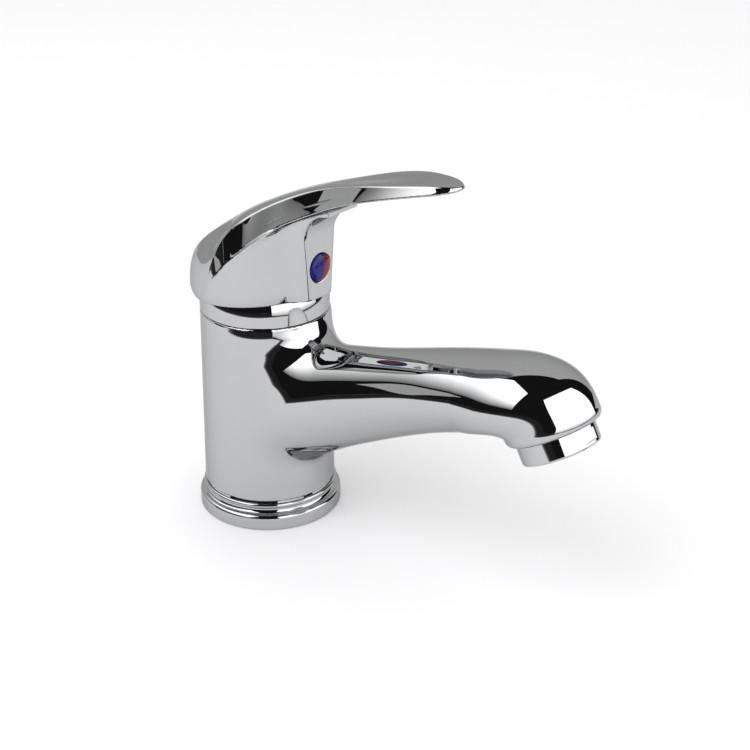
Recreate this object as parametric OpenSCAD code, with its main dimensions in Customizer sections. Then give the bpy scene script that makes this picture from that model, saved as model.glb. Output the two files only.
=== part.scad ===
// Single-lever basin mixer. Millimetres, +Z up, +X along the spout.
// The origin is the centre of the base, on the deck.

/* [Base and body] */
// Outer radius of the base ring
ring_r = 25; // [24.5:0.1:27]
// Height of the seam between base ring and body
ring_h = 10; // [9:0.5:11]
// Radius of the body at the base ring
body_bottom_r = 23; // [22.6:0.1:23.2]
// Radius of the body at the collar
body_top_r = 22.1; // [21.8:0.1:22.4]
// Height of the seam between body and collar
body_h = 74.6; // [74:0.1:76]

/* [Spout] */
// Height of the point that the spout's nose curls round
nose_z = 62.2; // [61.5:0.1:63]
// Reach of that point from the body's axis
nose_x = 104.3; // [102:0.5:108]
// Tilt of the aerator from straight down, in degrees
aerator_tilt = 28.3; // [24:0.5:32]
// Radius of the round mouth at the spout's end
mouth_r = 15; // [14.6:0.1:15.6]

/* [Aerator] */
// Outer radius of the chromed aerator ring
aerator_r = 12.4; // [12.2:0.1:12.8]
// How far the aerator ring stands out of the mouth
aerator_h = 6.3; // [5:0.1:7]

/* [Cartridge] */
// Radius of the cartridge, a standard 35 mm size
cartridge_r = 17.35; // [17.2:0.05:17.4]
// Height of the lever's pivot
pivot_z = 70; // [69.8:0.1:70.2]
// Height of the floor that the cartridge stands on
floor_z = 46; // [45.8:0.1:46.2]

/* [Handle] */
// Radius of the handle's skirt
skirt_r = 22.8; // [22.6:0.1:23]
// Distance of the flat front face from the axis
front_x = 25.6; // [25:0.1:26.5]
// Height of the button's centre
button_z = 94.2; // [93:0.1:95]
// Radius of the button
button_r = 4.7; // [4.2:0.1:5]
// Slope of the skirt's lower edge, in degrees
rim_tilt = 6; // [5:0.5:7]

/* [Connections] */
// Minor radius of the M10 hose ports
port_r = 4.46; // [4.3:0.02:4.6]
// Minor radius of the M8 stud hole
stud_r = 3.35; // [3.2:0.05:3.5]

/* [Hidden] */
$fn = 96;

// Slack between pieces that touch inside one body
fit = 0.03;
// Running clearance of a pin or a shaft
running = 0.05;
// A small overlap for clean cuts
eps = 0.5;

chrome = [0.80, 0.81, 0.83];
brass = [0.78, 0.64, 0.33];
steel = [0.62, 0.63, 0.65];
rubber = [0.08, 0.08, 0.08];
ceramic = [0.93, 0.92, 0.88];
plastic = [0.86, 0.87, 0.88];

// Places of the ports, [x, y]: two hose ports, two inlets in the cartridge and its outlet
hose_ports = [[5, 7.5], [5, -7.5]];
inlets = [[4.5, 6.5], [4.5, -6.5]];
outlet = [-6.5, 0];
stud_at = [-12, 0];

// ---- Smooth curves through a few chosen points ----

// Slope at point i of a table of [x, a, b, ...] rows, for column c
function slope(t, i, c) =
    i == 0 ? (t[1][c] - t[0][c]) / (t[1][0] - t[0][0]) :
    i == len(t) - 1 ? (t[i][c] - t[i - 1][c]) / (t[i][0] - t[i - 1][0]) :
    (t[i + 1][c] - t[i - 1][c]) / (t[i + 1][0] - t[i - 1][0]);

// The interval of the table that x falls in
function span_of(t, x, i = 0) = i >= len(t) - 2 || x < t[i + 1][0] ? i : span_of(t, x, i + 1);

// Cubic Hermite value of column c at x
function curve(t, x, c) = let(i = span_of(t, x), w = t[i + 1][0] - t[i][0], s = (x - t[i][0]) / w)
    t[i][c] * (2 * s * s * s - 3 * s * s + 1) + t[i + 1][c] * (3 * s * s - 2 * s * s * s)
    + slope(t, i, c) * w * (s * s * s - 2 * s * s + s)
    + slope(t, i + 1, c) * w * (s * s * s - s * s);

function smooth(k) = k * k * (3 - 2 * k);

// Closed polyhedron through equal-length rings, each clockwise as seen from the last one's side
module loft(rings) {
    n = len(rings[0]);
    last = len(rings) - 1;
    points = [for (r = rings, p = r) p];
    sides = [for (i = [0:last - 1], j = [0:n - 1], half = [0, 1])
        let(a = i * n + j, b = i * n + (j + 1) % n)
        half == 0 ? [a, b, b + n] : [a, b + n, a + n]];
    first_cap = [for (j = [n - 1:-1:0]) j];
    last_cap = [for (j = [0:n - 1]) last * n + j];
    polyhedron(points, concat([first_cap], sides, [last_cap]), convexity = 6);
}

// ---- Spout ----

// Rows of [x, top, bottom, half width]; the first rows lie inside the body and shape the cove
spout_rows = [
    [10, 74.5, 15, 15.5],
    [19, 74.2, 20, 16.8],
    [23, 71.8, 24, 17.2],
    [29, 68.7, 28.6, 16.9],
    [37, 68.8, 32.6, 15.8],
    [50, 72.3, 39.5, 14.8],
    [78, 80.3, 52.9, 16.1],
    [nose_x, 86.5, nose_z - 1.2, 18.4]];
spout_sides = 36;
spout_stations = 13;
curl_stations = 8;
curl = 90 - aerator_tilt;
inner_reach = -1.2;

function spout_ring(x) = let(top = curve(spout_rows, x, 1), bottom = curve(spout_rows, x, 2),
    w = curve(spout_rows, x, 3))
    [for (j = [0:spout_sides - 1]) let(a = 360 * j / spout_sides)
        [x, -w * cos(a), (top + bottom) / 2 + (top - bottom) / 2 * sin(a)]];

// Rings that swing about the nose point, from upright to the plane of the mouth
function curl_ring(k) = let(e = smooth(k), g = curl * k,
    reach = 24.3 + (inner_reach + 2 * mouth_r - 24.3) * e + 2.7 * k * (1 - k),
    w = 18.4 + (mouth_r - 18.4) * e + 5 * k * (1 - k))
    [for (j = [0:spout_sides - 1]) let(a = 360 * j / spout_sides,
        r = (reach + inner_reach) / 2 + (reach - inner_reach) / 2 * sin(a))
        [nose_x + r * sin(g), -w * cos(a), nose_z + r * cos(g)]];

// A ring on the aerator's axis, this far beyond the mouth plane and of this radius
function axis_ring(out, r) = let(mid = inner_reach + mouth_r)
    [for (j = [0:spout_sides - 1]) let(a = 360 * j / spout_sides)
        [nose_x + mid * cos(aerator_tilt) + out * sin(aerator_tilt) + r * sin(a) * cos(aerator_tilt),
         -r * cos(a),
         nose_z + mid * sin(aerator_tilt) - out * cos(aerator_tilt) + r * sin(a) * sin(aerator_tilt)]];

lip = 1.5;
boss = 2;

// Puts its children on the aerator's axis, with z = 0 at the lip of the mouth, +Z up the axis
module on_aerator_axis() {
    mid = inner_reach + mouth_r;
    translate([nose_x + mid * cos(aerator_tilt) + (lip + boss) * sin(aerator_tilt), 0,
               nose_z + mid * sin(aerator_tilt) - (lip + boss) * cos(aerator_tilt)])
        rotate([0, -aerator_tilt, 0]) children();
}

module spout_solid() {
    loft(concat(
        [for (i = [0:spout_stations]) spout_ring(10 + (nose_x - 10) * i / spout_stations)],
        [for (i = [1:curl_stations]) curl_ring(i / curl_stations)],
        [axis_ring(boss, mouth_r), axis_ring(boss + lip / 2, mouth_r - lip * 0.14),
         axis_ring(boss + lip, mouth_r - lip)]));
}

// ---- Body ----

thread_r = 18.2;
thread_z = pivot_z - 0.2;
foot_r = 20;
gallery_r = 15.5;
gallery_top = floor_z - 3.5;
gallery_bottom = 26;
waterway_r = 8.5;
nose_bore_z = 74;
nose_bore_x = nose_x - 0.5;
aerator_thread_r = 11.4;
aerator_thread_l = 9;

// The gallery under the cartridge, with the two risers standing in it
module gallery() {
    difference() {
        translate([0, 0, gallery_bottom]) cylinder(r = gallery_r, h = gallery_top - gallery_bottom);
        for (p = hose_ports) translate([p[0], p[1], gallery_bottom - eps])
            cylinder(r = 5.3, h = gallery_top - gallery_bottom + 2 * eps);
    }
    translate([outlet[0], outlet[1], gallery_top - eps]) cylinder(r = 4.4, h = floor_z - gallery_top + 1);
}

module waterway() {
    start = [11, 0, 38];
    run = nose_bore_x - start[0];
    rise = nose_bore_z - start[2];
    translate(start) rotate([0, 90 - atan2(rise, run), 0]) cylinder(r = waterway_r, h = norm([run, rise]));
    translate([nose_bore_x, 0, nose_bore_z]) sphere(r = waterway_r);
    on_aerator_axis() translate([0, 0, -eps]) cylinder(r = aerator_thread_r, h = aerator_thread_l + eps);
    on_aerator_axis() cylinder(r = waterway_r, h = aerator_thread_l + 4.5);
}

module body_casting() {
    color(chrome) difference() {
        union() {
            translate([0, 0, ring_h]) cylinder(r1 = body_bottom_r, r2 = body_top_r, h = body_h - ring_h);
            cylinder(r = foot_r, h = ring_h + eps);
            intersection() {
                spout_solid();
                translate([0, -40, 0]) cube([160, 80, body_h + 30]);
            }
        }
        translate([0, 0, floor_z]) cylinder(r = cartridge_r + fit, h = 40);
        translate([0, 0, thread_z]) cylinder(r = thread_r, h = 40);
        translate([0, 0, body_h]) cylinder(r = 23.5, h = 10);
        gallery();
        waterway();
        for (i = [0, 1]) {
            translate([hose_ports[i][0], hose_ports[i][1], -eps]) cylinder(r = port_r, h = 14 + eps);
            translate([hose_ports[i][0], hose_ports[i][1], 13]) cylinder(r = 3.5, h = 29.5);
            translate([inlets[i][0], inlets[i][1], 42]) cylinder(r = 2.6, h = 6);
        }
        translate([stud_at[0], stud_at[1], -eps]) cylinder(r = stud_r, h = 15 + eps);
    }
}

gasket_in = 21.4;
gasket_out = 23.6;
gasket_h = 1.5;

module base_ring() {
    color(chrome) rotate_extrude() difference() {
        polygon(concat(
            [[foot_r + fit, 0], [ring_r, 0], [ring_r, 4.4]],
            [for (a = [15:15:90]) [ring_r - 1 + cos(a), 4.4 + sin(a)]],
            [for (a = [0:15:90]) [ring_r - 1.2 - 0.9 * sin(a), 7.1 - 1.6 * cos(a)]],
            [for (a = [-60:30:90]) [22.55 + 0.75 * cos(a), 8.3 + 0.75 * sin(a)]],
            [[22.4, ring_h - fit], [foot_r + fit, ring_h - fit]]));
        translate([gasket_in - fit, -eps]) square([gasket_out - gasket_in + 2 * fit, gasket_h + eps + fit]);
    }
}

module base_gasket() {
    color(rubber) rotate_extrude() translate([gasket_in, 0]) square([gasket_out - gasket_in, gasket_h]);
}

// ---- Collar and nut ----

dome_z = 77.6;
dome_r = 22.1;
dome_h = 8.6;
dome_in = 5.4;
nut_neck_r = 16.4;

module collar() {
    color(chrome) rotate_extrude() polygon(concat(
        [[nut_neck_r + fit, 84], [nut_neck_r + fit, 76.6], [18.6, 76.6], [18.6, body_h + fit],
         [dome_r, body_h + fit]],
        [for (a = [0:10:90]) [dome_r - dome_in + dome_in * cos(a), dome_z + dome_h * sin(a)]],
        [[15.4, dome_z + dome_h], [15.4, 84]]));
}

shoulder_z = 70;
housing_neck_r = 14.6;

module cartridge_nut() {
    color(brass) difference() {
        union() {
            translate([0, 0, shoulder_z + fit]) cylinder(r = thread_r - fit, h = 76.5 - shoulder_z - fit);
            translate([0, 0, 76]) cylinder(r = nut_neck_r, h = 7.9);
        }
        translate([0, 0, shoulder_z - eps]) cylinder(r = housing_neck_r + fit, h = 6.3 + eps);
        translate([0, 0, shoulder_z - eps]) cylinder(r = 13, h = 20);
        for (a = [0:60:300]) rotate(a) translate([nut_neck_r - 0.8, -1.5, 81.5]) cube([3, 3, 5]);
    }
}

// ---- Cartridge ----

base_top = floor_z + 4;
cavity_r = 15.3;
shelf_z = 67;
barrel_r = 12.3;
plate_z = 73;
housing_top = 76;
neck_r = 11;
disc_z = base_top + 3.5;
film = 0.05;

// The lug that stops the rotor at each end of its turn, and the wedge that it swings in
module wedge(half_angle, r_in, r_out, z, h) {
    translate([0, 0, z]) linear_extrude(h) polygon(concat(
        [for (i = [-4:4]) r_out * [cos(180 + half_angle * i / 4), sin(180 + half_angle * i / 4)]],
        [for (i = [4:-1:-4]) r_in * [cos(180 + half_angle * i / 4), sin(180 + half_angle * i / 4)]]));
}

module cartridge_housing() {
    color(plastic) {
        difference() {
            union() {
                translate([0, 0, base_top]) cylinder(r = cartridge_r, h = shoulder_z - base_top);
                translate([0, 0, shoulder_z - 1]) cylinder(r = housing_neck_r, h = housing_top - shoulder_z + 1);
            }
            translate([0, 0, base_top - eps]) cylinder(r = cavity_r, h = shelf_z - base_top + eps);
            translate([0, 0, shelf_z - eps]) cylinder(r = barrel_r + 0.3, h = plate_z - shelf_z + eps);
            translate([0, 0, plate_z - eps]) cylinder(r = neck_r + running, h = 5);
        }
        wedge(8, 13.6, cavity_r + 0.4, 63.2, 4);
    }
}

module cartridge_base() {
    color(plastic) difference() {
        translate([0, 0, floor_z]) cylinder(r = cartridge_r, h = base_top - floor_z);
        for (p = inlets) translate([p[0], p[1], floor_z - eps]) cylinder(r = 2.6, h = 6);
        for (p = inlets) translate([p[0], p[1], floor_z - eps]) cylinder(r = 4.4, h = 1.2 + eps);
        translate([outlet[0], outlet[1], floor_z - eps]) cylinder(r = 4, h = 6);
        translate([outlet[0], outlet[1], floor_z - eps]) cylinder(r = 5.8, h = 1.2 + eps);
    }
}

module seal(at, r_in, r_out) {
    translate([at[0], at[1], floor_z]) difference() {
        cylinder(r = r_out, h = 1.2);
        translate([0, 0, -eps]) cylinder(r = r_in, h = 3);
    }
}

module port_seals() {
    color(rubber) {
        for (p = inlets) seal(p, 2.8, 4.4);
        seal(outlet, 4.2, 5.8);
    }
}

module fixed_ceramic_disc() {
    color(ceramic) difference() {
        translate([0, 0, base_top]) cylinder(r = 13, h = disc_z - base_top);
        for (p = inlets) translate([p[0], p[1], base_top - eps]) cylinder(r = 2.6, h = 6);
        translate([outlet[0], outlet[1], base_top - eps]) cylinder(r = 4, h = 6);
    }
}

// The moving disc's underside has a pocket that joins the inlets to the outlet when it slides
module moving_ceramic_disc() {
    color(ceramic) difference() {
        translate([0, 0, disc_z + film]) cylinder(r = 10.6, h = 3);
        translate([-5.6, 0, disc_z - eps]) cylinder(r = 4.6, h = 1.8 + eps);
    }
}

carrier_z = disc_z + film + 3;
carrier_top = 62.4;
ball_z = pivot_z - 9;
ball_r = 3;

module disc_carrier() {
    color(plastic) difference() {
        union() {
            translate([0, 0, carrier_z]) cylinder(r = 10.9, h = carrier_top - carrier_z);
            translate([-9, -5.7, carrier_top - eps]) cube([18, 11.4, 2 + eps]);
        }
        translate([0, 0, ball_z]) sphere(r = ball_r + 0.3);
        translate([0, 0, ball_z]) cylinder(r1 = ball_r + 0.3, r2 = ball_r + 1.6, h = 6);
    }
}

module lever_rotor() {
    slot = 8.6;
    color(plastic) difference() {
        union() {
            translate([0, 0, 63]) cylinder(r = 15, h = 3.5);
            translate([0, 0, 66]) cylinder(r = barrel_r, h = plate_z - 66.1);
            translate([0, 0, 72]) cylinder(r = neck_r, h = 6);
        }
        translate([-14.5, -6, 63 - eps]) cube([29, 12, 1.9 + eps]);
        translate([-8.9, -slot / 2, pivot_z - 1]) cube([13.5, slot, 12]);
        translate([-5.2, -slot / 2, 62]) cube([14.2, slot, pivot_z - 60]);
        translate([0, -13, pivot_z]) rotate([-90, 0, 0]) cylinder(r = 1.5 + fit, h = 26);
        wedge(59, 13.2, 17, 62, 6);
        translate([0, 0, 74]) difference() {
            cylinder(r = 13, h = 1.4);
            translate([0, 0, -eps]) cylinder(r = 10, h = 3);
        }
    }
}

module rotor_o_ring() {
    color(rubber) translate([0, 0, 74.05]) difference() {
        cylinder(r = neck_r + running / 2, h = 1.3);
        translate([0, 0, -eps]) cylinder(r = 10 + fit, h = 3);
    }
}

module pivot_pin() {
    color(steel) translate([0, -11.5, pivot_z]) rotate([-90, 0, 0]) cylinder(r = 1.5, h = 23);
}

// ---- Handle and what is fixed in it ----

spindle_w = 8;
spindle_top = 104;
socket_z = 93;
post_r = 7.4;

module lever_spindle() {
    color(brass) difference() {
        union() {
            translate([-spindle_w / 2, -spindle_w / 2, pivot_z - 3.5])
                cube([spindle_w, spindle_w, spindle_top - pivot_z + 3.5]);
            translate([0, 0, ball_z]) cylinder(r = 2.2, h = 8);
            translate([0, 0, ball_z]) sphere(r = ball_r);
        }
        translate([0, -6, pivot_z]) rotate([-90, 0, 0]) cylinder(r = 1.5 + running, h = 12);
    }
}

// Rows of [x, half width at the crease, crease height, ridge height, half width below, under edge]
lever_rows = [
    [-24.2, 4.5, 88, 89.5, 4.5, 84],
    [-22, 10, 90.5, 92.5, 10.2, 84],
    [-17, 16.4, 93.2, 98.4, 16.7, 84],
    [-10, 20.8, 97, 104.6, 21.1, 84],
    [-2, 22.5, 100.4, 110, 22.9, 88],
    [5, 21.6, 106.6, 114.2, 22.2, 96.6],
    [12.5, 18.3, 113.3, 117.8, 19, 104.2],
    [21, 13.3, 118.7, 121.3, 14.2, 110.6],
    [28, 10.7, 122, 123.8, 11.6, 114.5],
    [36, 9.7, 125.2, 126.2, 10.7, 118.3],
    [49, 10.8, 129.4, 129.9, 11.9, 123.7],
    [60, 10.7, 131.9, 132.3, 11.7, 127.4],
    [70, 8.4, 133.2, 133.5, 9.2, 130.1],
    [77, 5.5, 133.6, 133.8, 6.1, 131.7],
    [81.2, 1.6, 133.4, 133.7, 1.9, 132.7]];
lever_stations = 26;

// Half of a cross-section, from the ridge round to the underside, at the side y > 0
function half_section(x) = let(w = curve(lever_rows, x, 1), edge = curve(lever_rows, x, 2),
    ridge = curve(lever_rows, x, 3), wu = curve(lever_rows, x, 4), under = curve(lever_rows, x, 5),
    sag = x > 26 ? 0.6 : 0)
    concat(
        [for (a = [0:15:75]) [x, w * sin(a), edge + (ridge - edge) * cos(a)]],
        [[x, w, edge], [x, wu, under], [x, wu * 0.55, under - sag], [x, 0, under - sag]]);

function lever_ring(x) = let(h = half_section(x), n = len(h))
    concat(h, [for (i = [n - 2:-1:1]) [h[i][0], -h[i][1], h[i][2]]]);

module lever_solid() {
    first = lever_rows[0][0];
    last = lever_rows[len(lever_rows) - 1][0];
    loft([for (i = [0:lever_stations]) lever_ring(first + (last - first) * i / lever_stations)]);
}

// The rear of the hood stands proud of the skirt, and curls in to its lower edge
module hood() {
    translate([-1.2, 0, 0]) rotate_extrude() polygon(concat(
        [[0, 77]],
        [[21.4, 77]],
        [for (a = [-80:16:0]) [21.4 + 2.3 * cos(a), 85 + 7 * sin(a)]],
        [for (a = [10:10:60]) [11.7 + 12 * cos(a), 85 + 14 * sin(a)]],
        [[0, 98]]));
}

module nose() {
    linear_extrude(116) polygon([[10, -10], [skirt_r * cos(24), -skirt_r * sin(24)],
        [front_x - 1.2, -7.4], [front_x, -6.2], [front_x, 6.2], [front_x - 1.2, 7.4],
        [skirt_r * cos(24), skirt_r * sin(24)], [10, 10]]);
}

// The concave sweep from the front face out to the lever's underside
module front_sweep() {
    r = 13;
    translate([0, 7.4, 0]) rotate([90, 0, 0]) linear_extrude(14.8) polygon(concat(
        [[20, 116], [20, 104]],
        [for (a = [0:10:70]) [front_x + r - r * cos(a), 104.6 + r * sin(a) * 0.82]],
        [[36, 117.5]]));
}

// Everything above the sloping lower edge of the skirt
module above_rim() {
    translate([0, 0, 81]) rotate([0, -rim_tilt, 0]) translate([-60, -40, 0]) cube([180, 80, 90]);
}

// A side view drawn in X and Z, as a slab across the whole handle
module slab(outline) {
    translate([0, 40, 0]) rotate([90, 0, 0]) linear_extrude(80) polygon(outline);
}

// Everything below the lever's creases, so that the skirt ends inside the lever
module under_crease() {
    slab(concat([[30, 60], [-30, 60], [-30, 88]],
        [for (x = [-24:3:24]) [x, curve(lever_rows, x, 2) - 0.4]], [[30, 122]]));
}

module handle_cavity() {
    intersection() {
        translate([-0.4, 0, 0]) rotate_extrude() polygon([[0, 70], [22.35, 70], [22.3, 81.8],
            [21.2, 85], [20.6, 106], [0, 106]]);
        slab([[30, 60], [-30, 60], [-30, 80], [-21, 85.5], [-13, 93], [-4, 99.5], [6, 103], [16, 104],
            [30, 104]]);
    }
}

module handle() {
    color(chrome) difference() {
        union() {
            difference() {
                intersection() {
                    union() {
                        intersection() {
                            union() {
                                cylinder(r = skirt_r, h = 120);
                                hood();
                            }
                            under_crease();
                        }
                        nose();
                        front_sweep();
                        lever_solid();
                    }
                    above_rim();
                }
                handle_cavity();
            }
            difference() {
                union() {
                    translate([0, 0, socket_z]) cylinder(r = post_r, h = 10);
                    translate([0, 0, button_z]) rotate([0, 90, 0]) cylinder(r = 4.4, h = 22);
                }
                translate([-10, -10, 60]) cube([40, 20, button_z - 4.2 - 60]);
            }
        }
        translate([-spindle_w / 2 - fit, -spindle_w / 2 - fit, 80])
            cube([spindle_w + 2 * fit, spindle_w + 2 * fit, spindle_top - 80 + fit]);
        translate([0, 0, button_z]) rotate([0, 90, 0]) cylinder(r = 2.5, h = 40);
        translate([front_x - 3.2, 0, button_z]) rotate([0, 90, 0]) cylinder(r = button_r, h = 10);
    }
}

module grub_screw() {
    color(steel) difference() {
        translate([spindle_w / 2 + fit, 0, button_z]) rotate([0, 90, 0]) cylinder(r = 2.47, h = 7);
        translate([9, 0, button_z]) rotate([0, 90, 0]) cylinder(r = 1.25, h = 5, $fn = 6);
    }
}

holder_x = front_x - 3.15;
dome_out = 1.1;
// The line between the two colours leans to the red side at the top, and lies a little off the centre
split_lean = 12;
split_shift = 0.5;

module button_holder() {
    color(plastic) {
        translate([holder_x, 0, button_z]) rotate([0, 90, 0]) cylinder(r = button_r - fit, h = 1.6);
        translate([holder_x - 2.5, 0, button_z]) rotate([0, 90, 0]) cylinder(r = 2.45, h = 3);
    }
}

// The part of the domed cap beyond the split, at this distance from the centre and turned by this much
module button_half(turn, shift) {
    cap = button_r - fit;
    translate([holder_x + 1.63, 0, button_z]) rotate([turn - split_lean, 0, 0]) intersection() {
        rotate([0, 90, 0]) rotate_extrude() polygon(concat([[0, 0], [cap, 0], [cap, 1.5]],
            [for (a = [15:15:90]) [cap * cos(a), 1.5 + dome_out * sin(a)]]));
        translate([-1, shift + fit / 2, -10]) cube([12, 20, 20]);
    }
}

module button_blue() {
    color([0.05, 0.05, 0.45]) button_half(180, -split_shift);
}

module button_red() {
    color([0.65, 0.05, 0.05]) button_half(0, split_shift);
}

// ---- Aerator, drawn on its own axis with z = 0 at the mouth's lip ----

module tube(r_out, r_in, z, h) {
    translate([0, 0, z]) difference() {
        cylinder(r = r_out, h = h);
        translate([0, 0, -eps]) cylinder(r = r_in, h = h + 2 * eps);
    }
}

module aerator_ring() {
    color(chrome) on_aerator_axis() difference() {
        union() {
            tube(aerator_thread_r - fit, 10.2, -eps, 7 + eps);
            rotate_extrude() polygon([[10.2, -aerator_h], [aerator_r - 0.7, -aerator_h],
                [aerator_r - 0.2, -aerator_h + 0.2], [aerator_r, -aerator_h + 0.7],
                [aerator_r, -fit], [10.2, -fit]]);
            tube(10.5, 9.4, -aerator_h, 1.2);
        }
        for (a = [0, 180]) rotate(a) translate([aerator_r - 0.5, -3, -aerator_h + 1.4]) cube([2, 6, 3.6]);
    }
}

module aerator_body() {
    color(plastic) on_aerator_axis() {
        tube(10.15, 8.6, -4.6, 11.4);
        for (a = [0:45:315]) rotate(a) translate([3.4, -0.5, -2]) cube([5.6, 1, 6]);
        tube(3.6, 2.2, -3, 8.5);
    }
}

module aerator_screens() {
    color(steel) on_aerator_axis() for (z = [-3.6, -3.0]) translate([0, 0, z - 0.45]) difference() {
        cylinder(r = 8.55, h = 0.3);
        for (i = [-3:3], j = [-3:3]) if (norm([i, j]) < 3.4)
            translate([i * 2.2, j * 2.2, -eps]) cylinder(r = 0.8, h = 2);
    }
}

module aerator_grid() {
    color(plastic) on_aerator_axis() {
        tube(9.3, 8.4, -aerator_h + 0.2, 1.5);
        for (i = [-2:2]) {
            half = sqrt(8.8 * 8.8 - i * i * 9);
            translate([-half, i * 3 - 0.35, -aerator_h + 0.3]) cube([2 * half, 0.7, 1]);
            translate([i * 3 - 0.35, -half, -aerator_h + 0.3]) cube([0.7, 2 * half, 1]);
        }
    }
}

module aerator_gasket() {
    color(rubber) on_aerator_axis() tube(aerator_thread_r - 0.1, 8.7, 7.03, 1.9);
}

body_casting();
base_ring();
base_gasket();
collar();
cartridge_nut();
cartridge_housing();
cartridge_base();
port_seals();
fixed_ceramic_disc();
lever_rotor();
rotor_o_ring();
pivot_pin();
disc_carrier();
moving_ceramic_disc();
lever_spindle();
handle();
grub_screw();
button_holder();
button_blue();
button_red();
aerator_gasket();
aerator_body();
aerator_screens();
aerator_ring();
aerator_grid();
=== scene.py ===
# %% [markdown]
# # A chromed single-lever basin mixer
# The frame below is the mixer's engineering model: every part with its real size, and the bodies that
# its joints move. This lesson dresses that frame: it makes the polished skins of the body and the
# handle, the two turned rings and the brass foot, and gives a material to every part that it keeps.
# All sizes are millimetres in the sums and metres in the scene, and +X runs along the spout.

# %% Load the fixed frame
import math
import bpy
import numpy as np
from mathutils import Euler, Matrix, Vector


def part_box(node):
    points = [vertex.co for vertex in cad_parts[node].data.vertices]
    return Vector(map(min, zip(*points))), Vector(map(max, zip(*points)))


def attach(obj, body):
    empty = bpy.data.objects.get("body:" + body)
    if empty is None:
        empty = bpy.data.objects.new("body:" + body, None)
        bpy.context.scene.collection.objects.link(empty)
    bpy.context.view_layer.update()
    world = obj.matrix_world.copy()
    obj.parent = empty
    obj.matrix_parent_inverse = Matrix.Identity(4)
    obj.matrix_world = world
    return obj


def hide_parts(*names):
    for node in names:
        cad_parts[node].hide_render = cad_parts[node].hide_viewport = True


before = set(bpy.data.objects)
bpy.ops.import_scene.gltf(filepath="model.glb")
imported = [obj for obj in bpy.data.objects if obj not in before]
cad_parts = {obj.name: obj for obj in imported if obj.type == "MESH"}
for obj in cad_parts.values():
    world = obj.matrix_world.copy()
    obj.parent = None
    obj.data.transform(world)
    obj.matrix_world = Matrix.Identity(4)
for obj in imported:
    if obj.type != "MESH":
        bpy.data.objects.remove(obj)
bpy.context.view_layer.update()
MM = 0.001


def box_mm(node):
    """The lowest and highest corner of a part of the frame, in millimetres."""
    low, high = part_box(node)
    return np.array(low) / MM, np.array(high) / MM


# %% [markdown]
# ## The camera
# A product picture of a tap is taken from a little above, with a long lens, so that the upright body
# stays nearly upright in the picture. The lens here is 72 mm on a 36 mm sensor, and the camera stands
# a bit over half a metre away. Its place and three angles are all that is needed: how far it
# looks down, how far it turns round the upright axis, and a very small roll.

# %% Place the camera
camera_data = bpy.data.cameras.new("camera")
camera_data.lens = 72.0
camera_data.sensor_width = 36.0
camera_data.clip_start = 0.01
camera_data.clip_end = 20.0
camera = bpy.data.objects.new("camera", camera_data)
bpy.context.scene.collection.objects.link(camera)
bpy.context.scene.camera = camera
camera.location = (0.3291, -0.3362, 0.2735)
look_down, turn, roll = math.radians(25.706), math.radians(39.834), math.radians(0.152)
aim = Euler((math.pi / 2 - look_down, 0.0, turn)).to_matrix() @ Matrix.Rotation(roll, 3, "Z")
camera.rotation_euler = aim.to_euler()
to_camera = np.array([math.sin(turn), -math.cos(turn)])
to_right = np.array([math.cos(turn), math.sin(turn)])
print("camera:", round(camera.location.length / MM), "mm from the middle of the base")

# %% [markdown]
# ## The studio
# Chrome has almost no colour of its own: it shows the room. A tap is lit with large soft boxes, and
# between them the dark room and a dark card give the bands that make the metal read as polished. The
# floor is plain and pale. The boxes and the card are seen only in reflections, so that the picture
# stays light from every side.

# %% Floor, lights and cards
def emission_paint(name, colour, strength):
    paint = bpy.data.materials.new(name)
    paint.use_nodes = True
    tree = paint.node_tree
    tree.nodes.clear()
    out = tree.nodes.new("ShaderNodeOutputMaterial")
    glow = tree.nodes.new("ShaderNodeEmission")
    glow.inputs["Color"].default_value = (*colour, 1)
    glow.inputs["Strength"].default_value = strength
    tree.links.new(glow.outputs[0], out.inputs["Surface"])
    return paint


def stage_mesh(name, points, faces, paint):
    mesh = bpy.data.meshes.new(name)
    mesh.from_pydata(points, [], faces)
    mesh.materials.append(paint)
    item = bpy.data.objects.new(name, mesh)
    bpy.context.scene.collection.objects.link(item)
    return item


def facing_point(side, front, height):
    """A point given as the camera's crew would say it: metres to the right, towards them, and up."""
    flat = to_right * side + to_camera * front
    return Vector((flat[0], flat[1], height))


def round_tap(bearing, reach, height):
    """A point at a bearing round the tap: 0 is towards the camera, and 90 is to the camera's right."""
    turned_by = math.radians(bearing)
    return facing_point(reach * math.sin(turned_by), reach * math.cos(turned_by), height)


def only_in_reflections(item):
    item.visible_camera = False
    item.visible_diffuse = False
    item.visible_shadow = False
    item.visible_transmission = False


def shaded(panel, levels):
    """Gives each point of a panel its own share of the panel's strength."""
    shade = panel.data.color_attributes.new("shade", "FLOAT_COLOR", "POINT")
    for index, level in enumerate(levels):
        shade.data[index].color = (level, level, level, 1)
    tree = panel.data.materials[0].node_tree
    read = tree.nodes.new("ShaderNodeVertexColor")
    read.layer_name = "shade"
    tree.links.new(read.outputs["Color"], tree.nodes["Emission"].inputs["Color"])
    only_in_reflections(panel)
    return panel


def soft_box(name, left, right, low, high, strength, fade=1.0):
    """An upright white panel between two (bearing, reach) corners.

    Its strength grows from the share called fade at the foot to full, a fifth of the way up.
    """
    rows = 17
    points, levels = [], []
    for row in range(rows):
        share = row / (rows - 1)
        height = low + (high - low) * share
        points += [round_tap(*left, height), round_tap(*right, height)]
        levels += [fade + (1 - fade) * min(1.0, share * 5.0)] * 2
    faces = [(2 * i, 2 * i + 1, 2 * i + 3, 2 * i + 2) for i in range(rows - 1)]
    return shaded(stage_mesh(name, points, faces, emission_paint(name, (1, 1, 1), strength)), levels)


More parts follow.
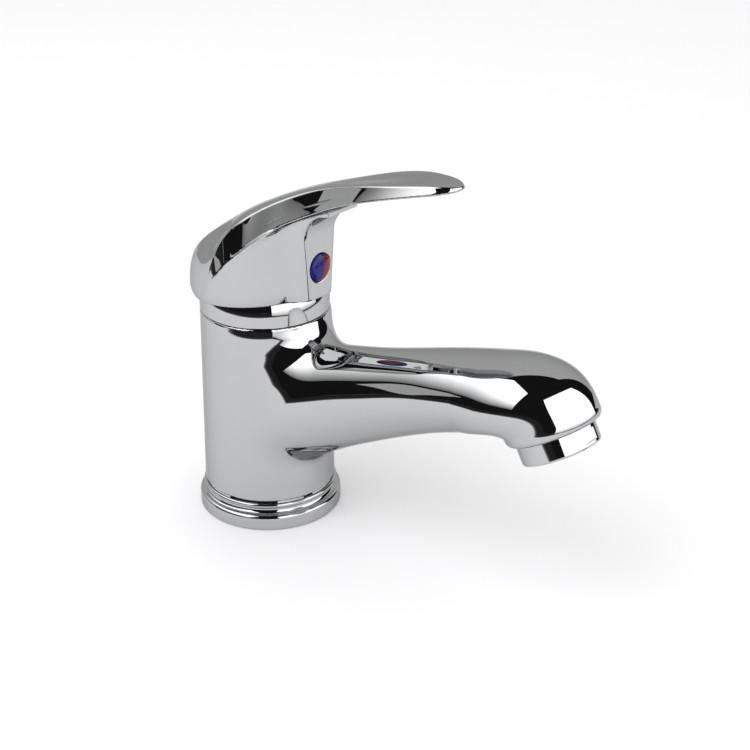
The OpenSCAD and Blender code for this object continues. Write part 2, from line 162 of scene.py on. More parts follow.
def dark_card(name, rim, outer, height):
    """A dark card lying round the tap: pale at the rim's (bearing, reach) points, and black further out."""
    spread = [(1.0, 0.7), (1.13, 0.16), (1.35, 0.03), (outer, 0.01)]
    points = [round_tap(b, r * wider if wider < outer else outer, height)
              for wider, _ in spread for b, r in rim]
    levels = [level for _, level in spread for _ in rim]
    n = len(rim)
    faces = [(k * n + i, k * n + i + 1, k * n + n + i + 1, k * n + n + i)
             for k in range(len(spread) - 1) for i in range(n - 1)]
    return shaded(stage_mesh(name, points, faces, emission_paint(name, (1, 1, 1), 1.0)), levels)


floor_paint = bpy.data.materials.new("studio_floor")
floor_paint.use_nodes = True
floor_paint.node_tree.nodes["Principled BSDF"].inputs["Base Color"].default_value = (0.86, 0.86, 0.87, 1)
floor_paint.node_tree.nodes["Principled BSDF"].inputs["Roughness"].default_value = 0.9
stage_mesh("floor", [(-6, -6, 0), (6, -6, 0), (6, 6, 0), (-6, 6, 0)], [(0, 1, 2, 3)], floor_paint)
bpy.context.scene.view_settings.view_transform = "Standard"
bpy.context.scene.view_settings.look = "None"

# %% A world that is pale to the camera and a dark studio in the reflections
world = bpy.data.worlds.new("studio")
bpy.context.scene.world = world
world.use_nodes = True
sky = world.node_tree
sky.nodes.clear()
sky_out = sky.nodes.new("ShaderNodeOutputWorld")
sky_mix = sky.nodes.new("ShaderNodeMixShader")
sky_seen = sky.nodes.new("ShaderNodeBackground")
sky_seen.inputs["Color"].default_value = (1.0, 1.0, 1.0, 1)
sky_seen.inputs["Strength"].default_value = 1.05
sky_room = sky.nodes.new("ShaderNodeBackground")
sky_room.inputs["Color"].default_value = (0.012, 0.012, 0.013, 1)
sky_path = sky.nodes.new("ShaderNodeLightPath")
sky.links.new(sky_path.outputs["Is Glossy Ray"], sky_mix.inputs["Fac"])
sky.links.new(sky_seen.outputs[0], sky_mix.inputs[1])
sky.links.new(sky_room.outputs[0], sky_mix.inputs[2])
sky.links.new(sky_mix.outputs[0], sky_out.inputs["Surface"])


def area_light(name, centre, width, height, power, target=(0.03, 0.0, 0.04)):
    data = bpy.data.lights.new(name, "AREA")
    data.shape = "RECTANGLE"
    data.size = width
    data.size_y = height
    data.energy = power
    lamp = bpy.data.objects.new(name, data)
    bpy.context.scene.collection.objects.link(lamp)
    lamp.location = facing_point(*centre)
    lamp.rotation_euler = (Vector(target) - lamp.location).to_track_quat("-Z", "Y").to_euler()
    lamp.visible_glossy = False
    return lamp


area_light("key", (-0.45, 0.45, 0.9), width=0.7, height=0.7, power=4.0)
soft_box("box_right", (15, 0.42), (100, 0.50), low=0.02, high=0.55, strength=2.4, fade=0.35)
soft_box("box_left", (-31, 0.85), (-132, 0.85), low=0.27, high=2.1, strength=2.4, fade=0.10)
soft_box("box_low_left", (-92, 0.84), (-136, 0.84), low=0.0, high=0.30, strength=0.6)
soft_box("back_wall", (-132, 1.4), (132, 1.4), low=0.0, high=2.1, strength=0.66)
card_rim = [(-100, 0.50), (-75, 0.42), (-50, 0.36), (-25, 0.31), (0, 0.31), (15, 0.33),
            (30, 0.33), (45, 0.30), (60, 0.29), (75, 0.31), (95, 0.38), (120, 0.48)]
dark_card("floor_card", card_rim, outer=7.0, height=0.003)
print("studio: floor, one key light, four panels and one card")

# %% [markdown]
# ## Polished metal
# Real chrome plate is smooth, but not perfect: it has faint wiping marks and dried water spots, which
# blur the reflections a little and tint the surface very slightly. Both come from one node group,
# "used surface". Each material places the group with its own values, and keeps its own shader.

# %% The node group for wiping marks and water spots
def new_group(name, inputs, outputs):
    group = bpy.data.node_groups.new(name, "ShaderNodeTree")
    for label, value in inputs:
        socket = group.interface.new_socket(label, in_out="INPUT", socket_type="NodeSocketFloat")
        socket.default_value = value
    for label in outputs:
        group.interface.new_socket(label, in_out="OUTPUT", socket_type="NodeSocketFloat")
    return group


def group_math(group, kind, first, second):
    node = group.nodes.new("ShaderNodeMath")
    node.operation = kind
    for place, value in enumerate((first, second)):
        if isinstance(value, (int, float)):
            node.inputs[place].default_value = value
        else:
            group.links.new(value, node.inputs[place])
    return node.outputs[0]


def make_used_surface():
    group = new_group("used_surface",
                      [("Clean", 0.02), ("Marked", 0.08), ("Spots", 0.5), ("Scale", 1.0)],
                      ["Roughness", "Height", "Mask"])
    given = group.nodes.new("NodeGroupInput")
    result = group.nodes.new("NodeGroupOutput")
    place = group.nodes.new("ShaderNodeTexCoord").outputs["Object"]
    size = group.nodes.new("ShaderNodeVectorMath")
    size.operation = "SCALE"
    group.links.new(place, size.inputs[0])
    group.links.new(given.outputs["Scale"], size.inputs["Scale"])
    wipe = group.nodes.new("ShaderNodeTexNoise")
    wipe.inputs["Scale"].default_value = 60.0
    wipe.inputs["Detail"].default_value = 4.0
    group.links.new(size.outputs[0], wipe.inputs["Vector"])
    stretch = group.nodes.new("ShaderNodeMapping")
    stretch.inputs["Scale"].default_value = (1.0, 1.0, 9.0)
    group.links.new(size.outputs[0], stretch.inputs["Vector"])
    brush = group.nodes.new("ShaderNodeTexNoise")
    brush.inputs["Scale"].default_value = 420.0
    brush.inputs["Detail"].default_value = 2.0
    group.links.new(stretch.outputs[0], brush.inputs["Vector"])
    drops = group.nodes.new("ShaderNodeTexVoronoi")
    drops.inputs["Scale"].default_value = 170.0
    group.links.new(size.outputs[0], drops.inputs["Vector"])
    ring = group.nodes.new("ShaderNodeMapRange")
    ring.inputs["From Min"].default_value = 0.14
    ring.inputs["From Max"].default_value = 0.10
    group.links.new(drops.outputs["Distance"], ring.inputs["Value"])
    spots = group_math(group, "MULTIPLY", ring.outputs["Result"], given.outputs["Spots"])
    smear = group_math(group, "MULTIPLY", wipe.outputs["Fac"], brush.outputs["Fac"])
    mask = group_math(group, "MAXIMUM", smear, spots)
    span = group_math(group, "SUBTRACT", given.outputs["Marked"], given.outputs["Clean"])
    rise = group_math(group, "MULTIPLY", mask, span)
    group.links.new(group_math(group, "ADD", rise, given.outputs["Clean"]), result.inputs["Roughness"])
    group.links.new(wipe.outputs["Fac"], result.inputs["Height"])
    group.links.new(mask, result.inputs["Mask"])
    return group


used_surface = make_used_surface()
print("group:", used_surface.name, [s.name for s in used_surface.interface.items_tree])

# %% Makers for the metals, the rubber, the ceramic and the plastics
def paint_with_surface(name, clean, marked, spots=0.4, scale=1.0, bump=0.0, bump_depth=0.00001):
    """A new material with the used-surface group placed in it, and the parts that need its outputs."""
    paint = bpy.data.materials.new(name)
    paint.use_nodes = True
    tree = paint.node_tree
    shader = tree.nodes["Principled BSDF"]
    wear = tree.nodes.new("ShaderNodeGroup")
    wear.node_tree = used_surface
    for label, value in (("Clean", clean), ("Marked", marked), ("Spots", spots), ("Scale", scale)):
        wear.inputs[label].default_value = value
    tree.links.new(wear.outputs["Roughness"], shader.inputs["Roughness"])
    if bump:
        relief = tree.nodes.new("ShaderNodeBump")
        relief.inputs["Strength"].default_value = bump
        relief.inputs["Distance"].default_value = bump_depth
        tree.links.new(wear.outputs["Height"], relief.inputs["Height"])
        tree.links.new(relief.outputs["Normal"], shader.inputs["Normal"])
    return paint, tree, shader, wear


def tint_by_mask(tree, shader, wear, light, dark):
    """The base colour goes from light to dark where the surface is marked."""
    blend = tree.nodes.new("ShaderNodeMix")
    blend.data_type = "RGBA"
    blend.inputs[6].default_value = (*light, 1)
    blend.inputs[7].default_value = (*dark, 1)
    tree.links.new(wear.outputs["Mask"], blend.inputs[0])
    tree.links.new(blend.outputs[2], shader.inputs["Base Color"])


def metal(name, light, dark, clean, marked, edge=0.8, **more):
    paint, tree, shader, wear = paint_with_surface(name, clean, marked, **more)
    shader.inputs["Metallic"].default_value = 1.0
    shader.inputs["Specular Tint"].default_value = (edge, edge, edge, 1)
    tint_by_mask(tree, shader, wear, light, dark)
    return paint


def solid_stuff(name, light, dark, clean, marked, **more):
    paint, tree, shader, wear = paint_with_surface(name, clean, marked, **more)
    tint_by_mask(tree, shader, wear, light, dark)
    return paint


chrome = metal("chrome_plate", (0.49, 0.494, 0.50), (0.46, 0.464, 0.47), 0.012, 0.035,
               edge=0.6, spots=0.5)
chrome_handle = metal("chrome_plate_handle", (0.49, 0.494, 0.50), (0.455, 0.459, 0.465), 0.012, 0.045,
                      edge=0.6, spots=0.7, scale=1.2)
chrome_ring = metal("chrome_plate_rings", (0.49, 0.494, 0.50), (0.46, 0.464, 0.47), 0.012, 0.04,
                    edge=0.6, scale=1.6)
cast_brass = metal("machined_brass", (0.72, 0.52, 0.24), (0.58, 0.40, 0.17), 0.22, 0.42,
                   bump=0.4, bump_depth=0.00008, scale=2.0)
plain_steel = metal("steel", (0.56, 0.57, 0.58), (0.45, 0.46, 0.47), 0.18, 0.34, scale=2.5, bump=0.2)
rubber = solid_stuff("seal_rubber", (0.025, 0.025, 0.027), (0.05, 0.05, 0.052), 0.55, 0.8,
                     bump=0.5, bump_depth=0.0001)
ceramic = solid_stuff("polished_ceramic", (0.86, 0.85, 0.80), (0.78, 0.77, 0.72), 0.12, 0.3, scale=2.0)
pale_plastic = solid_stuff("pale_plastic", (0.74, 0.75, 0.76), (0.64, 0.65, 0.66), 0.32, 0.5,
                           bump=0.3, bump_depth=0.00006, scale=2.0)
grey_plastic = solid_stuff("grey_plastic", (0.30, 0.31, 0.33), (0.22, 0.23, 0.25), 0.35, 0.55,
                           bump=0.3, bump_depth=0.00006, scale=2.0)


def enamel(name, light, dark):
    paint, tree, shader, wear = paint_with_surface(name, 0.10, 0.22, spots=0.3, scale=2.0, bump=0.15)
    tint_by_mask(tree, shader, wear, light, dark)
    shader.inputs["Specular IOR Level"].default_value = 0.25
    shader.inputs["Coat Weight"].default_value = 0.08
    return paint


blue_enamel = enamel("blue_plastic_cap", (0.010, 0.009, 0.15), (0.016, 0.014, 0.20))
red_enamel = enamel("red_plastic_cap", (0.20, 0.010, 0.010), (0.27, 0.018, 0.015))
print("materials:", sorted(m.name for m in bpy.data.materials))

# %% [markdown]
# ## Smooth curves
# A reflection shows every kink in a curve, so the profiles here are natural cubic splines: they
# pass through a few chosen points, and neither their slope nor their bend has a jump.

# %% Natural spline through chosen points
class Spline:
    """A smooth curve y(x) through a few points; it goes on straight past its ends."""

    def __init__(self, points):
        rows = np.array(points, float)
        self.x, self.y = rows[:, 0], rows[:, 1]
        n = len(rows)
        gap = np.diff(self.x)
        system = np.eye(n)
        rhs = np.zeros(n)
        for i in range(1, n - 1):
            system[i, i - 1] = gap[i - 1]
            system[i, i] = 2 * (gap[i - 1] + gap[i])
            system[i, i + 1] = gap[i]
            rhs[i] = 6 * ((self.y[i + 1] - self.y[i]) / gap[i] - (self.y[i] - self.y[i - 1]) / gap[i - 1])
        self.bend = np.linalg.solve(system, rhs)

    def __call__(self, x):
        inside = np.clip(x, self.x[0], self.x[-1])
        i = np.clip(np.searchsorted(self.x, inside, side="right") - 1, 0, len(self.x) - 2)
        gap = self.x[i + 1] - self.x[i]
        a = (self.x[i + 1] - inside) / gap
        b = 1 - a
        value = a * self.y[i] + b * self.y[i + 1]
        value = value + ((a**3 - a) * self.bend[i] + (b**3 - b) * self.bend[i + 1]) * gap**2 / 6
        ends = np.where(x < self.x[0], self.end_slope(0), self.end_slope(1))
        return value + (x - inside) * ends

    def end_slope(self, last):
        i = len(self.x) - 2 if last else 0
        gap = self.x[i + 1] - self.x[i]
        rise = (self.y[i + 1] - self.y[i]) / gap
        if last:
            return rise + gap * (self.bend[i] + 2 * self.bend[i + 1]) / 6
        return rise - gap * (2 * self.bend[i] + self.bend[i + 1]) / 6


def ease(t):
    t = np.clip(t, 0.0, 1.0)
    return t * t * (3 - 2 * t)


def soft_max(a, b, k):
    """The larger of two fields, with the corner between them rounded over a width k."""
    h = np.maximum(k - np.abs(a - b), 0.0) / k
    return np.maximum(a, b) + h * h * k / 4


def soft_min(a, b, k):
    """The smaller of two fields: joins two solids with a fillet of about k."""
    return -soft_max(-a, -b, k)


# %% [markdown]
# ## Skins from fields
# A cast body that flows into its spout is hard to build from patches, because no patch edge may
# show in the reflections. So the shape is a field instead: a function of position that is
# negative inside the metal and zero on its surface. Soft minimum and maximum join the simple
# solids with fillets. A surface net then finds the zero surface: one vertex in each small cube that the
# surface crosses. Each vertex slides along the surface to even out the mesh and drops back onto it,
# as closely as the printed line says, and the shading normals are taken from the field itself.

# %% Surface net of a field
def crossings(value, axis):
    low = np.take(value, range(value.shape[axis] - 1), axis)
    high = np.take(value, range(1, value.shape[axis]), axis)
    crossed = (low < 0) != (high < 0)
    place = np.argwhere(crossed)
    share = low[crossed] / (low[crossed] - high[crossed])
    return place, share, low[crossed] < 0


def surface_net(field, low, high, step):
    """Vertices and four-sided faces on the zero surface of a field inside a box."""
    axes = [np.arange(a, b + step, step) for a, b in zip(low, high)]
    value = field(*np.meshgrid(*axes, indexing="ij"))
    cells = np.array(value.shape) - 1
    total = np.zeros(tuple(cells) + (3,))
    count = np.zeros(tuple(cells), int)
    rings = []
    for axis in range(3):
        side_a, side_b = [a for a in range(3) if a != axis]
        place, share, starts_inside = crossings(value, axis)
        point = place.astype(float)
        point[:, axis] += share
        ring = []
        for da, db in ((0, 0), (-1, 0), (-1, -1), (0, -1)):
            cell = place.copy()
            cell[:, side_a] += da
            cell[:, side_b] += db
            np.add.at(total, tuple(cell.T), point)
            np.add.at(count, tuple(cell.T), 1)
            ring.append(np.ravel_multi_index(tuple(cell.T), tuple(cells)))
        ring = np.array(ring).T
        flip = starts_inside == (axis == 1)
        ring[flip] = ring[flip][:, ::-1]
        rings.append(ring)
    used = np.flatnonzero(count)
    number = np.full(count.size, -1)
    number[used] = np.arange(len(used))
    points = total.reshape(-1, 3)[used] / count.ravel()[used][:, None]
    return points * step + np.array([a[0] for a in axes]), number[np.concatenate(rings)]


def slope_of(field, points, reach=0.02):
    parts = []
    for axis in range(3):
        move = np.zeros(3)
        move[axis] = reach
        ahead = field(*(points + move).T)
        parts.append((ahead - field(*(points - move).T)) / (2 * reach))
    return np.array(parts).T


def settle(field, points, faces, rounds=5):
    """Evens out the mesh along the surface, and drops each vertex back onto the field's zero."""
    pairs = np.concatenate([faces[:, [i, (i + 1) % 4]] for i in range(4)])
    for _ in range(rounds):
        total = np.zeros_like(points)
        count = np.zeros(len(points))
        np.add.at(total, pairs[:, 0], points[pairs[:, 1]])
        np.add.at(count, pairs[:, 0], 1)
        normal = slope_of(field, points)
        normal /= np.linalg.norm(normal, axis=1)[:, None] + 1e-12
        move = total / count[:, None] - points
        move -= normal * (move * normal).sum(1)[:, None]
        points = points + 0.5 * move
        for _ in range(2):
            grade = slope_of(field, points)
            value = field(*points.T)
            step = grade * (value / ((grade**2).sum(1) + 1e-9))[:, None]
            length = np.linalg.norm(step, axis=1)[:, None]
            points = points - step * np.minimum(1, 0.4 / (length + 1e-9))
    return points


def add_piece(name, points, faces, paint, body, stands_for=(), normals=None, smooth=True):
    """Puts a mesh given in millimetres into the scene and rides it on a body of the frame."""
    mesh = bpy.data.meshes.new(name)
    mesh.from_pydata((np.asarray(points) * MM).tolist(), [], np.asarray(faces).tolist()
                     if isinstance(faces, np.ndarray) else faces)
    mesh.polygons.foreach_set("use_smooth", [smooth] * len(mesh.polygons))
    if normals is not None:
        mesh.normals_split_custom_set_from_vertices(normals.tolist())
    mesh.materials.append(paint)
    item = bpy.data.objects.new(name, mesh)
    bpy.context.scene.collection.objects.link(item)
    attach(item, body)
    if stands_for:
        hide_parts(*stands_for)
    return item


def skin(name, field, low, high, step, paint, body, stands_for):
    points, faces = surface_net(field, low, high, step)
    points = settle(field, points, faces)
    normals = slope_of(field, points)
    normals /= np.linalg.norm(normals, axis=1)[:, None] + 1e-12
    item = add_piece(name, points, faces, paint, body, stands_for, normals)
    print(name + ":", len(points), "vertices, furthest from its field",
          round(float(np.abs(field(*points.T)).max()), 4), "mm")
    return item


# %% [markdown]
# ## Body and spout
# The body is a slightly tapered cylinder. The spout is a row of oval sections that first run
# out along X, and then swing round a point below the nose until they face down the aerator's axis.
# There the sections have become circles, and they go on as a short round mouth. The spout and
# the body meet in a wide soft cove on top and a tight one beneath, so the fillet's size changes
# with height. This skin is only the outside: it has no bore for the cartridge and no waterway, so the
# parts inside pass through it. The frame's own casting has those bores.

# %% The spout's sections
ring_high = box_mm("base_ring")[1]
collar_low, collar_high = box_mm("collar")
body_high = box_mm("body_casting")[1]
seam_z = ring_high[2] + 0.03
collar_z = collar_low[2] - 0.03
TURN_X, TURN_Z, TILT = 91.1, 55.1, math.radians(28.3)
CURL = math.pi / 2 - TILT
MOUTH_R, MOUTH_REACH, BOSS, LIP = 15.2, 29.0, 2.0, 1.5
top_line = Spline([(10, 61.5), (24, 66.0), (37, 69.2), (50, 72.3), (64, 76.3), (78, 80.3), (91.1, 83.6),
                   (98, 85.2)])
bottom_line = Spline([(10, 15.5), (24, 24.5), (37, 32.5), (50, 39.5), (64, 46.5), (78, 52.9), (91.1, 57.8),
                      (98, 59.9)])
half_width = Spline([(10, 18.6), (24, 17.4), (37, 15.6), (50, 14.8), (64, 14.9), (78, 16.1), (91.1, 17.5),
                     (98, 18.3)])
nose_top = Spline([(-0.3, 27.7), (-0.15, 27.8), (0, 28.5), (0.15, 30.0), (0.37, 33.9), (0.52, 37.2),
                   (0.676, 40.7), (0.8, 42.9), (0.92, 44.05), (1.0, 44.2), (1.1, 44.2)])
nose_under = Spline([(-0.3, 2.6), (0, 2.7), (0.3, 3.2), (0.6, 4.9), (0.8, 8.0), (0.93, 11.6), (1.0, 13.8),
                     (1.1, 17.2)])
nose_width = Spline([(-0.3, 16.6), (0, 17.5), (0.3, 18.3), (0.57, 18.7), (0.8, 17.3), (0.93, 15.7),
                     (1.0, 15.2), (1.1, 15.0)])


def oval(a, b, half_a, half_b):
    """Distance from an oval along the line to its centre; negative inside."""
    reach = np.sqrt(a * a + b * b) + 1e-6
    share = np.sqrt((a / half_a) ** 2 + (b / half_b) ** 2) + 1e-6
    return reach - reach / share


def spout_field(x, y, z):
    run = np.clip(x, 6, TURN_X)
    top, bottom = top_line(run), bottom_line(run)
    straight = oval(y, z - (top + bottom) / 2, half_width(run), (top - bottom) / 2)
    straight = np.maximum(straight, 6 - x)
    dx, dz = x - TURN_X, z - TURN_Z
    swing = np.arctan2(dx, dz) / CURL
    part = np.clip(swing, 0.0, 1.0)
    outer, inner = nose_top(part), nose_under(part)
    turned = oval(y, np.hypot(dx, dz) - (outer + inner) / 2, nose_width(part), (outer - inner) / 2)
    along = dx * math.sin(TILT) - dz * math.cos(TILT)
    across = dx * math.cos(TILT) + dz * math.sin(TILT) - MOUTH_REACH
    mouth = soft_max(np.hypot(across, y) - MOUTH_R, along - BOSS - LIP, 2 * LIP)
    return np.where(dx <= 0, straight, np.where(swing > 1, mouth, turned))


FOOT_R, FOOT_TOP = 19.95, 15.2


def body_field(x, y, z):
    wall = np.hypot(x, y) - (23.0 - 0.9 * (z - 10) / 64.6)
    shoulder = ease(x / 22 + 0.5) * ease((z - 56) / 10) * (1 - ease((z - 70.6) / 5.0))
    wall = wall - 0.55 * shoulder
    wide = 3.5 + 8.5 * ease((z - 42) / 20)
    joined = soft_min(wall, spout_field(x, y, z), wide)
    above_seam = soft_max(np.hypot(x, y) - 25.0, collar_z - 0.12 - z, 0.2)
    joined = soft_max(joined, -above_seam, 0.5)
    recess = np.maximum(np.hypot(x, y) - FOOT_R - 0.05, z - FOOT_TOP - 0.1)
    return soft_max(soft_max(joined, seam_z + 0.12 - z, 0.5), -recess, 0.1)


skin("body_and_spout", body_field, (-26, -26, 7), (body_high[0] + 4, 26, 92), 0.8, chrome,
     "body", ["body_casting"])

# %% [markdown]
# ## Foot
# Under the base the casting is plain brass inside the ring. It has two threaded ports for the supply
# hoses and a threaded hole for the fixing stud. A thread is a small ripple in a hole's radius that
# climbs by one pitch for each turn.

# %% The foot's field
def threaded_hole(x, y, z, radius, pitch, depth):
    turn_share = np.arctan2(y, x) / (2 * math.pi)
    ripple = 0.22 * pitch * np.cos(2 * math.pi * (z / pitch - turn_share))
    funnel = 0.9 * np.clip(1 - z / 1.1, 0.0, 1.0)
    return np.maximum(np.hypot(x, y) - radius - ripple - funnel, z - depth)


def foot_field(x, y, z):
    foot = soft_max(np.hypot(x, y) - FOOT_R, np.abs(z - FOOT_TOP / 2) - FOOT_TOP / 2, 0.8)
    ports = threaded_hole(x - 5, np.abs(y) - 7.5, z, 4.6, 1.0, 14.0)
    stud = threaded_hole(x + 12, y, z, 3.5, 1.25, 14.5)
    return soft_max(foot, -np.minimum(ports, stud), 0.15)


skin("foot_with_ports", foot_field, (-21, -21, -0.6), (21, 21, 16), 0.3, cast_brass, "body", [])

# %% [markdown]
# ## Handle
# The lever and its hood are one casting. Its top is a gently crowned sheet whose ridge runs from the
# back edge over the hood to the tip. A narrow band goes round under the top's edge, leaning in
# towards it, and below the band stand the round skirt and the flat-fronted nose that holds
# the button. The ridge is steep at the back and flat at the tip, so it is drawn in axes turned by
# 45 degrees.

# %% The handle's lines
HALF = math.sqrt(0.5)
ridge_points = [(-27, 79), (-26.2, 83), (-24.4, 88), (-19.5, 94.6), (-14.1, 100.1), (-8.4, 104.8),
                (-2, 109.4), (4.6, 113.1), (14.9, 118), (25.8, 122.3), (36.7, 126), (47.6, 129.3),
                (58.8, 131.9), (70.2, 133.5), (81.6, 133.7), (90, 132.4)]
ridge = Spline([((x + z) * HALF, (z - x) * HALF) for x, z in ridge_points])
crown = Spline([(42, 26), (50, 21.5), (59, 16.8), (65.5, 13.2), (73.7, 8.6), (78.7, 6.3), (89, 3.9),
                (99, 2.3), (104, 1.7), (114, 1.1), (126, 0.9), (138, 0.8), (152, 0.6)])
crown_width = Spline([(42, 23.6), (59, 23.6), (68, 23.3), (74, 22.7), (79, 21.6), (84, 20.2), (89, 18.3),
                      (94.5, 15.8), (99, 13.6), (104, 11.7), (114, 10.4), (126, 11.7), (138, 11),
                      (152, 8)])
crease = Spline([(-12, 75), (-3, 86.5), (3.6, 95), (8.3, 100.3), (13.1, 104.7), (16.9, 108), (25.5, 113.2),
                 (36.2, 118.6), (49.1, 123.9), (60.3, 127.6), (69.1, 130), (77.1, 131.9), (82, 133.2)])
lean = Spline([(-14, 8), (-3, 10), (5, 15), (15, 18), (25, 23), (40, 27), (60, 28), (82, 30)])
half_squared = Spline([(4, 538), (8, 466), (12, 357), (16.9, 246), (21, 182), (25.5, 139), (30, 114),
                       (36.2, 106), (42, 117), (49.1, 139), (55, 145), (60.3, 137), (66, 108), (71, 74),
                       (76, 41), (79.5, 16), (81.5, 0), (86, -40)])
SKIRT_X, SKIRT_R, RIM_Z, RIM_RISE = -1.1, 23.8, 80.9, 0.105
FRONT_X = box_mm("button_holder")[1][0]
BUTTON_Z = float(np.mean([box_mm("button_holder")[0][2], box_mm("button_holder")[1][2]]))
print("handle: front face near x", round(FRONT_X, 1), "button at z", round(BUTTON_Z, 1))


# %% The handle's field
def lever_side(x, y):
    """Distance past the outline seen from above, past the skirt's circle, and the rear's bulge."""
    bulge = 0.5 * ease((2 - x) / 14.0)
    circle = np.hypot(x - SKIRT_X, y) - SKIRT_R - bulge
    ahead = np.clip(x, 4, 90)
    slope = half_squared(ahead + 0.25) - half_squared(ahead - 0.25)
    paddle = (y * y - half_squared(ahead)) / np.sqrt(4 * y * y + 4 * slope**2 + 4.0)
    return np.where(x < 6, circle, paddle), circle, bulge


def top_sheet(x, y, z):
    """Height above the crowned top of hood and lever, square to the 45 degree axis."""
    u, v = (x + z) * HALF, (z - x) * HALF
    power = 2.3 + 3.8 * (1 - ease((u - 50) / 28.0))
    drop = crown(u) * (np.abs(y) / crown_width(u)) ** power
    return v - ridge(u) + drop


def handle_outside(x, y, z):
    side, circle, bulge = lever_side(x, y)
    scoop = 0.9 * np.exp(-((x - 52) / 14.0) ** 2 - (y / 6.0) ** 2)
    top = top_sheet(x, y, z) + scoop
    line = crease(x)
    tilt = np.radians(lean(x))
    above = np.maximum(z - line, 0.0)
    rear = 0.5 + 4.5 * ease((-2 - x) / 12.0)
    lip = np.clip(1 - (z - RIM_Z - RIM_RISE * x) / (4.5 + bulge), 0.0, 1.5)
    skirt_wall = circle + (0.9 + 0.8 * bulge) * lip**2
    lean_in = np.tan(tilt) * ease((x + 10) / 8.0) + 3.0 * ease((x - 6) / 6.0)
    skirt = soft_max(soft_max(skirt_wall, skirt_wall + above * lean_in, 0.3), top, rear)
    lever = soft_max(soft_max(side, side + above * np.tan(tilt), 0.3), top, 0.5)
    sag = 0.7 * ease((x - 26) / 8)
    under = line - sag * (1 - (y / 12.0) ** 2) - z
    lever = soft_max(soft_max(lever, under, 0.6), 5 - x, 0.1)
    front_half = 5.4 + 2.1 * (z - 80) / 26
    nose_side = (np.abs(y) - front_half - 0.6 * np.maximum(FRONT_X + 1.5 - x, 0)) * 0.857
    sweep = np.clip((z - 104.6) / 11.0, 0.0, 0.97)
    nose_front = x - (FRONT_X + 1.5) - 13 * (1 - np.sqrt(1 - sweep**2))
    nose_front = nose_front / np.sqrt(1 + 1.4 * sweep**2 / (1.02 - sweep**2))
    nose = soft_max(soft_max(nose_side, nose_front, 1.6), z - line - 2.0, 0.2)
    nose = np.maximum(nose, 12 - x)
    fillet = 0.004 + 2.6 * ease((x - 8) / 7.0)
    whole = soft_min(skirt, lever, fillet)
    return soft_min(whole, nose, 1.4)


def handle_field(x, y, z):
    outside = handle_outside(x, y, z)
    rim = RIM_Z + RIM_RISE * x - z
    hollow = np.maximum(np.hypot(x - SKIRT_X, y) - 20.9 - 1.3 * ease((86 - z) / 4.2), x - 21.2)
    hollow = soft_max(hollow, top_sheet(x, y, z) + 3.0, 2.0)
    hollow = soft_max(hollow, z - np.minimum(103.0, crease(np.maximum(x, 0.0)) + 6.0), 1.5)
    post = np.maximum(np.hypot(x, y) - 7.4, 91.0 - z)
    hollow = np.maximum(hollow, -post)
    socket = np.maximum(np.maximum(np.abs(x), np.abs(y)) - 4.05, z - 104.05)
    cup = np.maximum(np.hypot(y, z - BUTTON_Z) - 4.85, FRONT_X - 2.0 - x)
    solid = soft_max(outside, rim, 0.7)
    solid = soft_max(solid, -hollow, 0.4)
    solid = soft_max(solid, -cup, 0.45)
    return soft_max(solid, -socket, 0.2)


skin("handle_skin", handle_field, (-29.5, -27.5, 76), (84, 27.5, 136), 0.45, chrome_handle,
     "lever", ["handle"])

# %% [markdown]
# ## Turned rings
# The base ring and the collar are turned on a lathe. Each is one closed outline spun round its
# axis. Outer corners get a small chamfer that catches the light, and edges sharper than 32 degrees
# are shaded as sharp.

# %% The lathe
def arc(cx, cz, rx, rz, start, end, count):
    angles = np.radians(np.linspace(start, end, count))
    return [(cx + rx * math.cos(a), cz + rz * math.sin(a)) for a in angles]


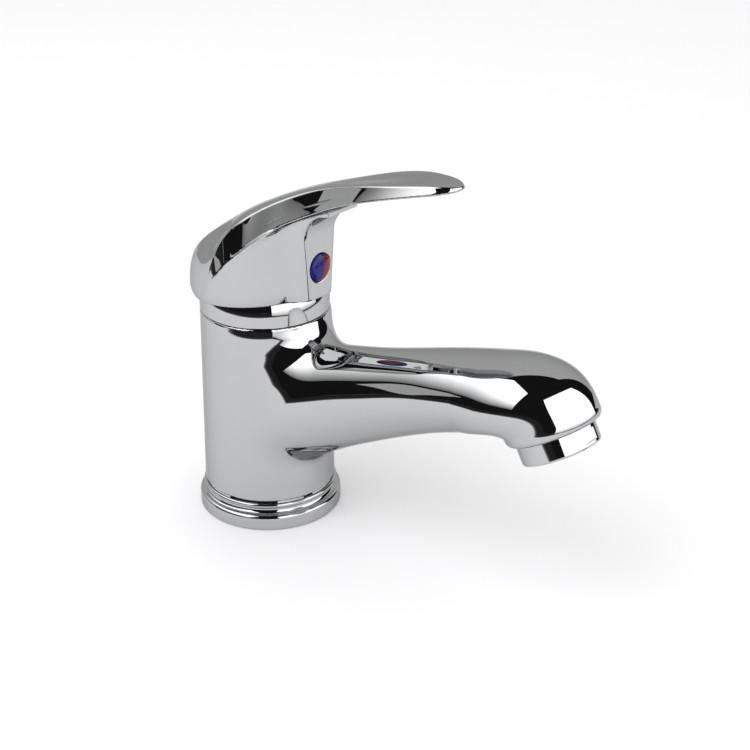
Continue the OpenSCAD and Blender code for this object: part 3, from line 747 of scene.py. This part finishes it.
def turned_piece(name, outline, paint, body, stands_for, sides=192):
    """Spins a closed outline of (radius, height) points round the upright axis."""
    rows = len(outline)
    angles = np.arange(sides) * 2 * math.pi / sides
    points = np.array([(r * math.cos(a), r * math.sin(a), z) for r, z in outline for a in angles])
    faces = []
    for i in range(rows):
        j = (i + 1) % rows
        for s in range(sides):
            t = (s + 1) % sides
            faces.append((i * sides + s, i * sides + t, j * sides + t, j * sides + s))
    item = add_piece(name, points, faces, paint, body, stands_for)
    item.data.set_sharp_from_angle(angle=math.radians(32))
    print(name + ":", rows, "points in its outline")
    return item


R = ring_high[0]
ring_outline = ([(20.05, 0.0), (R - 0.3, 0.0), (R, 0.3)] + arc(R - 1.3, 4.1, 1.3, 1.3, 0, 90, 9)
                + arc(R - 1.3, 7.0, 1.5, 1.6, 270, 180, 10)
                + arc(22.65, 8.45, 0.85, 0.85, -40, 100, 10) + [(22.3, seam_z - 0.1), (20.05, seam_z - 0.1)])
turned_piece("base_ring_skin", ring_outline, chrome_ring, "body", ["base_ring"])
C = collar_high[0]
collar_outline = ([(18.7, collar_z + 0.12), (C - 0.15, collar_z + 0.12), (C, collar_z + 0.3)]
                  + arc(C - 5.4, 77.6, 5.4, 8.6, 0, 90, 20)
                  + [(15.5, 86.2), (15.5, 84.0), (16.5, 84.0), (16.5, 76.7), (18.7, 76.7)])
turned_piece("collar_skin", collar_outline, chrome_ring, "body", ["collar"])

# %% [markdown]
# ## The parts that stay as the frame has them
# The cartridge, the seals, the pin, the aerator and the button already have the shapes they need in
# the frame, so they only get materials: lapped ceramic, black rubber, moulded plastic, machined
# brass, steel, chrome on the aerator's ring, and glossy caps.

# %% Paint the carried parts
carried = {
    rubber: ["base_gasket", "port_seals", "rotor_o_ring", "aerator_gasket"],
    cast_brass: ["cartridge_nut", "lever_spindle"],
    plain_steel: ["pivot_pin", "grub_screw", "aerator_screens"],
    ceramic: ["fixed_ceramic_disc", "moving_ceramic_disc"],
    pale_plastic: ["cartridge_housing", "cartridge_base", "disc_carrier", "aerator_grid", "aerator_body"],
    grey_plastic: ["lever_rotor", "button_holder"],
    chrome_ring: ["aerator_ring"],
    blue_enamel: ["button_blue"],
    red_enamel: ["button_red"],
}
for paint, names in carried.items():
    for name in names:
        part = bpy.data.objects[name]
        for place in part.material_slots:
            place.material = paint
    print(paint.name + ":", ", ".join(names))
